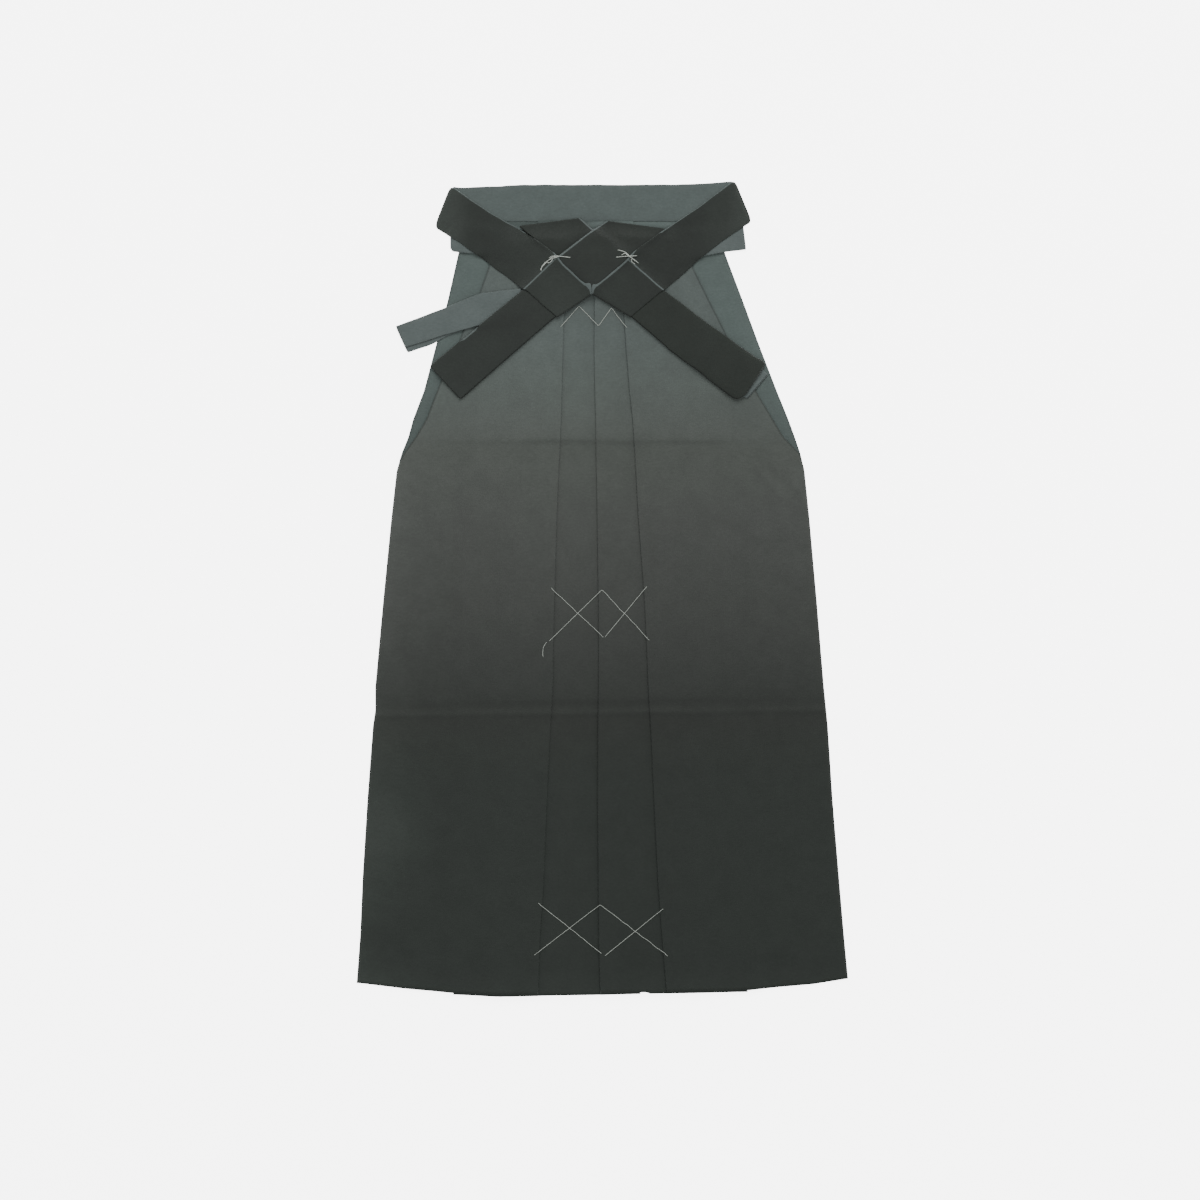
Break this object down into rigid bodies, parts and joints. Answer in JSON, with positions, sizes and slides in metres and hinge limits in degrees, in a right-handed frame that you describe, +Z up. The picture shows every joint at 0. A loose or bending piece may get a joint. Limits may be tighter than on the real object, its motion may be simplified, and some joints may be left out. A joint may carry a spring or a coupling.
{
  "type": "hakama trousers",
  "caption": "Pleated hakama trousers laid flat with the front up, the waist ties put away folded and crossed in a lattice over the waist.",
  "frame": {"origin": "middle of the box round the garment, on the surface that it lies on", "axes": "+Y from the hem to the waist, +X to the right as the front is seen (the wearer's left), +Z up out of the front"},
  "size_m": [0.619, 1.025, 0.0199],
  "materials": {
    "skirt_cloth": "matt polyester crepe, dyed grey-green at the waist fading to near-black green at the hem",
    "back_band_cloth": "matt polyester crepe, light grey-green",
    "dark_tie_cloth": "matt polyester crepe, dark green",
    "pale_tie_cloth": "matt polyester crepe, pale grey-green"
  },
  "bodies": {
    "root": {"back_panel": "skirt_cloth", "front_panel": "skirt_cloth", "back_waistband": "back_band_cloth", "front_waistband": "dark_tie_cloth", "front_tie_left_turnback": "pale_tie_cloth", "front_tie_right_turnback": "pale_tie_cloth", "front_tie_left_bundle": "dark_tie_cloth", "front_tie_right_bundle": "dark_tie_cloth", "back_tie_left_crossing": "dark_tie_cloth", "back_tie_right_crossing": "dark_tie_cloth", "back_tie_left_tail": "pale_tie_cloth", "back_tie_right_tail": "pale_tie_cloth"}
  },
  "joints": []
}
